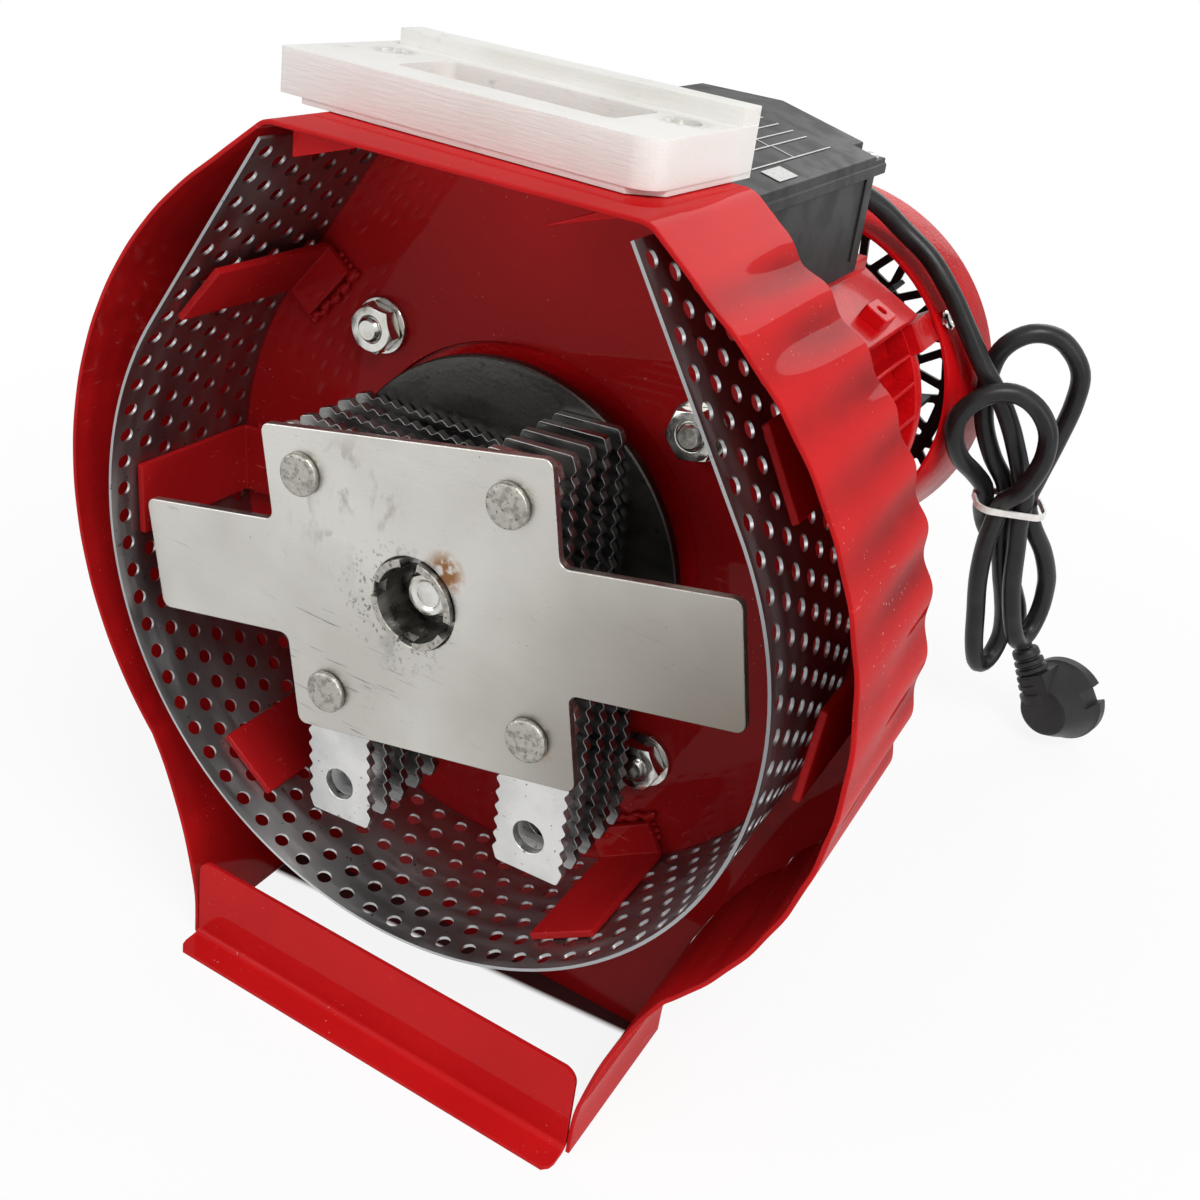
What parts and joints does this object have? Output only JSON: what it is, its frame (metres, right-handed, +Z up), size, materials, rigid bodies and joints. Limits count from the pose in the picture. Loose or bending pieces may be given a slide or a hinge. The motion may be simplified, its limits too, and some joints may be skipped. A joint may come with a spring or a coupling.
{
  "type": "electric grain mill",
  "caption": "Bench hammer mill with its front cover off: drum casing, perforated sieve, cross rotor with swinging hammers, feed block, mains motor and bundled lead.",
  "frame": {"origin": "centre of the footprint on the bench, under the middle of the mill's length, free cord left out", "axes": "+X right seen from the open front, +Y back along the rotor's axis towards the motor, +Z up"},
  "size_m": [0.3138, 0.3877, 0.3176],
  "materials": {
    "red_paint": "gloss red enamel with slight orange peel",
    "white_nylon": "milled white nylon, slightly translucent",
    "zinc_steel": "bright zinc plate",
    "rolled_steel": "bare rolled steel, scuffed",
    "hammer_steel": "dark rolled steel",
    "sieve_steel": "dark cold rolled sheet",
    "iron_core": "laminated core and turned shaft",
    "dark_plastic": "fine textured moulding",
    "black_rubber": "satin cord sheath",
    "white_tie": "plain nylon",
    "nickel_brass": "nickel plated"
  },
  "bodies": {
    "frame": {"casing_wrap": "red_paint", "back_plate": "red_paint", "front_rail": "red_paint", "rear_support": "red_paint", "feed_block": "white_nylon", "block_screw_left": "zinc_steel", "block_screw_right": "zinc_steel", "sieve": "sieve_steel", "flange_nut_1": "zinc_steel", "flange_nut_2": "zinc_steel", "flange_nut_3": "zinc_steel", "flange_nut_4": "zinc_steel", "motor_flange": "red_paint", "motor_frame": "red_paint", "rear_shield": "red_paint", "stator": "iron_core", "bearing_front": "zinc_steel", "bearing_rear": "zinc_steel", "fan_cowl": "red_paint", "cowl_screw_1": "zinc_steel", "cowl_screw_2": "zinc_steel", "box_body": "dark_plastic", "box_lid": "dark_plastic", "cord_gland": "black_rubber", "cord_lead": "black_rubber", "cord_hank": "black_rubber", "cable_tie": "white_tie", "plug": "black_rubber", "plug_pin_1": "nickel_brass", "plug_pin_2": "nickel_brass"},
    "rotor": {"rotor_front_plate": "rolled_steel", "rotor_rear_disc": "hammer_steel", "rotor_hub": "rolled_steel", "hub_bolt": "zinc_steel", "pin_upper_left": "rolled_steel", "pin_upper_right": "rolled_steel", "pin_lower_left": "rolled_steel", "pin_lower_right": "rolled_steel", "motor_rotor": "iron_core", "cooling_fan": "dark_plastic"},
    "hammer_upper_left_1": {"hammer_upper_left_1": "hammer_steel"},
    "hammer_upper_left_2": {"hammer_upper_left_2": "hammer_steel"},
    "hammer_upper_left_3": {"hammer_upper_left_3": "hammer_steel"},
    "hammer_upper_left_4": {"hammer_upper_left_4": "hammer_steel"},
    "hammer_upper_left_5": {"hammer_upper_left_5": "hammer_steel"},
    "hammer_upper_right_1": {"hammer_upper_right_1": "hammer_steel"},
    "hammer_upper_right_2": {"hammer_upper_right_2": "hammer_steel"},
    "hammer_upper_right_3": {"hammer_upper_right_3": "hammer_steel"},
    "hammer_upper_right_4": {"hammer_upper_right_4": "hammer_steel"},
    "hammer_upper_right_5": {"hammer_upper_right_5": "hammer_steel"},
    "hammer_lower_left_1": {"hammer_lower_left_1": "hammer_steel"},
    "hammer_lower_left_2": {"hammer_lower_left_2": "hammer_steel"},
    "hammer_lower_left_3": {"hammer_lower_left_3": "hammer_steel"},
    "hammer_lower_left_4": {"hammer_lower_left_4": "hammer_steel"},
    "hammer_lower_left_5": {"hammer_lower_left_5": "hammer_steel"},
    "hammer_lower_right_1": {"hammer_lower_right_1": "hammer_steel"},
    "hammer_lower_right_2": {"hammer_lower_right_2": "hammer_steel"},
    "hammer_lower_right_3": {"hammer_lower_right_3": "hammer_steel"},
    "hammer_lower_right_4": {"hammer_lower_right_4": "hammer_steel"},
    "hammer_lower_right_5": {"hammer_lower_right_5": "hammer_steel"}
  },
  "joints": [
    {"name": "rotor_spin", "type": "hinge", "parent": "frame", "child": "rotor", "pos_m": [0, -0.1575, 0.1667], "axis": [0, -1, 0], "continuous": true},
    {"name": "swing_upper_left_1", "type": "hinge", "parent": "rotor", "child": "hammer_upper_left_1", "pos_m": [-0.04385, -0.148, 0.19408], "axis": [0, -1, 0], "range_deg": [0, 295]},
    {"name": "swing_upper_left_2", "type": "hinge", "parent": "rotor", "child": "hammer_upper_left_2", "pos_m": [-0.04385, -0.1392, 0.19408], "axis": [0, -1, 0], "range_deg": [0, 295]},
    {"name": "swing_upper_left_3", "type": "hinge", "parent": "rotor", "child": "hammer_upper_left_3", "pos_m": [-0.04385, -0.1304, 0.19408], "axis": [0, -1, 0], "range_deg": [0, 295]},
    {"name": "swing_upper_left_4", "type": "hinge", "parent": "rotor", "child": "hammer_upper_left_4", "pos_m": [-0.04385, -0.1216, 0.19408], "axis": [0, -1, 0], "range_deg": [0, 295]},
    {"name": "swing_upper_left_5", "type": "hinge", "parent": "rotor", "child": "hammer_upper_left_5", "pos_m": [-0.04385, -0.1128, 0.19408], "axis": [0, -1, 0], "range_deg": [0, 295]},
    {"name": "swing_upper_right_1", "type": "hinge", "parent": "rotor", "child": "hammer_upper_right_1", "pos_m": [0.02892, -0.148, 0.20955], "axis": [0, -1, 0], "range_deg": [-5, 233]},
    {"name": "swing_upper_right_2", "type": "hinge", "parent": "rotor", "child": "hammer_upper_right_2", "pos_m": [0.02892, -0.1392, 0.20955], "axis": [0, -1, 0], "range_deg": [-5, 233]},
    {"name": "swing_upper_right_3", "type": "hinge", "parent": "rotor", "child": "hammer_upper_right_3", "pos_m": [0.02892, -0.1304, 0.20955], "axis": [0, -1, 0], "range_deg": [-5, 233]},
    {"name": "swing_upper_right_4", "type": "hinge", "parent": "rotor", "child": "hammer_upper_right_4", "pos_m": [0.02892, -0.1216, 0.20955], "axis": [0, -1, 0], "range_deg": [-5, 233]},
    {"name": "swing_upper_right_5", "type": "hinge", "parent": "rotor", "child": "hammer_upper_right_5", "pos_m": [0.02892, -0.1128, 0.20955], "axis": [0, -1, 0], "range_deg": [-5, 233]},
    {"name": "swing_lower_left_1", "type": "hinge", "parent": "rotor", "child": "hammer_lower_left_1", "pos_m": [-0.02892, -0.148, 0.12385], "axis": [0, -1, 0], "range_deg": [-185, 107]},
    {"name": "swing_lower_left_2", "type": "hinge", "parent": "rotor", "child": "hammer_lower_left_2", "pos_m": [-0.02892, -0.1392, 0.12385], "axis": [0, -1, 0], "range_deg": [-185, 107]},
    {"name": "swing_lower_left_3", "type": "hinge", "parent": "rotor", "child": "hammer_lower_left_3", "pos_m": [-0.02892, -0.1304, 0.12385], "axis": [0, -1, 0], "range_deg": [-185, 107]},
    {"name": "swing_lower_left_4", "type": "hinge", "parent": "rotor", "child": "hammer_lower_left_4", "pos_m": [-0.02892, -0.1216, 0.12385], "axis": [0, -1, 0], "range_deg": [-185, 107]},
    {"name": "swing_lower_left_5", "type": "hinge", "parent": "rotor", "child": "hammer_lower_left_5", "pos_m": [-0.02892, -0.1128, 0.12385], "axis": [0, -1, 0], "range_deg": [-185, 107]},
    {"name": "swing_lower_right_1", "type": "hinge", "parent": "rotor", "child": "hammer_lower_right_1", "pos_m": [0.04385, -0.148, 0.13932], "axis": [0, -1, 0], "range_deg": [-90, 131]},
    {"name": "swing_lower_right_2", "type": "hinge", "parent": "rotor", "child": "hammer_lower_right_2", "pos_m": [0.04385, -0.1392, 0.13932], "axis": [0, -1, 0], "range_deg": [-90, 131]},
    {"name": "swing_lower_right_3", "type": "hinge", "parent": "rotor", "child": "hammer_lower_right_3", "pos_m": [0.04385, -0.1304, 0.13932], "axis": [0, -1, 0], "range_deg": [-90, 131]},
    {"name": "swing_lower_right_4", "type": "hinge", "parent": "rotor", "child": "hammer_lower_right_4", "pos_m": [0.04385, -0.1216, 0.13932], "axis": [0, -1, 0], "range_deg": [-90, 131]},
    {"name": "swing_lower_right_5", "type": "hinge", "parent": "rotor", "child": "hammer_lower_right_5", "pos_m": [0.04385, -0.1128, 0.13932], "axis": [0, -1, 0], "range_deg": [-90, 131]}
  ]
}
